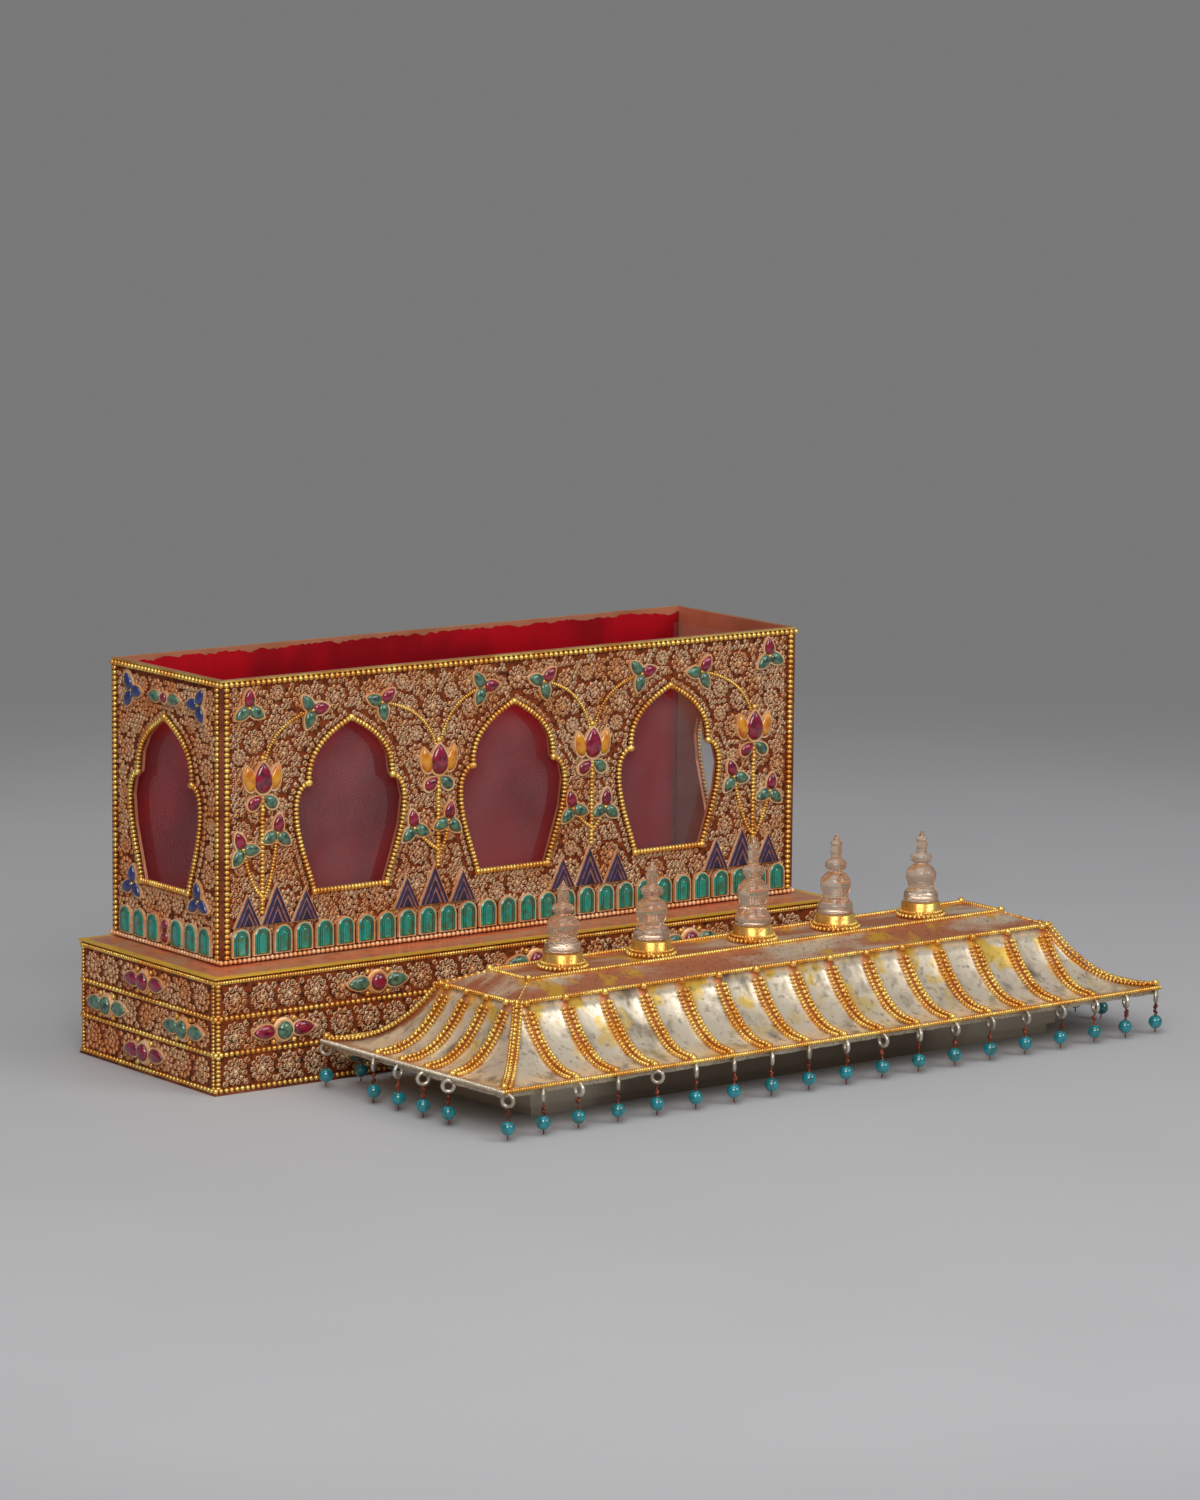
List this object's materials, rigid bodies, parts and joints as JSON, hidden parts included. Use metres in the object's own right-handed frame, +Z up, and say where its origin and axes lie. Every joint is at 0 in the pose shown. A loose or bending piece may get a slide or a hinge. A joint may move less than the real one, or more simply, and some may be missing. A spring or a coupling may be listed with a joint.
{
  "type": "buddhist altar box",
  "caption": "Long filigree box on a stepped plinth, with glazed ogee windows, inlaid stone flowers and a lift-off roof-shaped lid carrying crystal stupas.",
  "frame": {"origin": "middle of the plinth's flat underside", "axes": "+X along the front to the right, +Y from the front to the back, +Z up"},
  "size_m": [0.4581, 0.2688, 0.1869],
  "materials": {
    "copper": "aged copper sheet under gilt wire filigree, orange brown with dark hollows",
    "gilt": "worn gilding on beaded and twisted wire",
    "silver": "silver-washed ribbed sheet with grey and orange tarnish",
    "glass": "clear window glass",
    "crystal": "clear, faintly pink turned rock crystal",
    "velvet": "dark red velvet, brushed in patches",
    "turquoise": "polished turquoise, carved with arches",
    "lapis": "polished lapis lazuli",
    "ruby": "polished ruby-red and green cabochons in gilt collars",
    "green_stone": "polished green stone with a ruby-red lobe"
  },
  "bodies": {
    "root": {"case": "copper", "case_edging": "gilt", "corner_trefoil_left": "green_stone", "corner_trefoil_right": "green_stone", "crystal_stupa_1": "crystal", "crystal_stupa_2": "crystal", "crystal_stupa_3": "crystal", "crystal_stupa_4": "crystal", "crystal_stupa_5": "crystal", "flower_spray_1": "gilt", "flower_spray_2": "gilt", "flower_spray_3": "gilt", "flower_spray_4": "gilt", "front_glass": "glass", "lapis_peaks_1": "lapis", "lapis_peaks_2": "lapis", "lapis_peaks_3": "lapis", "lapis_peaks_4": "lapis", "lapis_trefoil_left_high_a": "lapis", "lapis_trefoil_left_high_b": "lapis", "lapis_trefoil_left_low_a": "lapis", "lapis_trefoil_left_low_b": "lapis", "lapis_trefoil_right_high_a": "lapis", "lapis_trefoil_right_high_b": "lapis", "lapis_trefoil_right_low_a": "lapis", "lapis_trefoil_right_low_b": "lapis", "left_glass": "glass", "lid_collar": "copper", "lid_eave": "turquoise", "lid_roof": "silver", "lid_top": "gilt", "plinth": "copper", "plinth_deck": "copper", "plinth_stones_front_high_1": "ruby", "plinth_stones_front_high_2": "ruby", "plinth_stones_front_high_3": "ruby", "plinth_stones_front_low_1": "ruby", "plinth_stones_front_low_2": "ruby", "plinth_stones_front_middle_1": "ruby", "plinth_stones_front_middle_2": "ruby", "plinth_stones_front_middle_3": "ruby", "plinth_stones_front_middle_4": "ruby", "plinth_stones_left_high_1": "ruby", "plinth_stones_left_low_1": "ruby", "plinth_stones_left_middle_1": "ruby", "plinth_stones_left_middle_2": "ruby", "plinth_stones_right_middle_1": "ruby", "plinth_stones_right_middle_2": "ruby", "right_glass": "glass", "stone_row_left": "ruby", "stone_row_right": "ruby", "turquoise_row_front": "turquoise", "turquoise_row_left": "turquoise", "turquoise_row_right": "turquoise", "velvet_lining": "velvet", "window_frame_front_1": "gilt", "window_frame_front_2": "gilt", "window_frame_front_3": "gilt", "window_frame_left": "gilt", "window_frame_right": "gilt"}
  },
  "joints": []
}
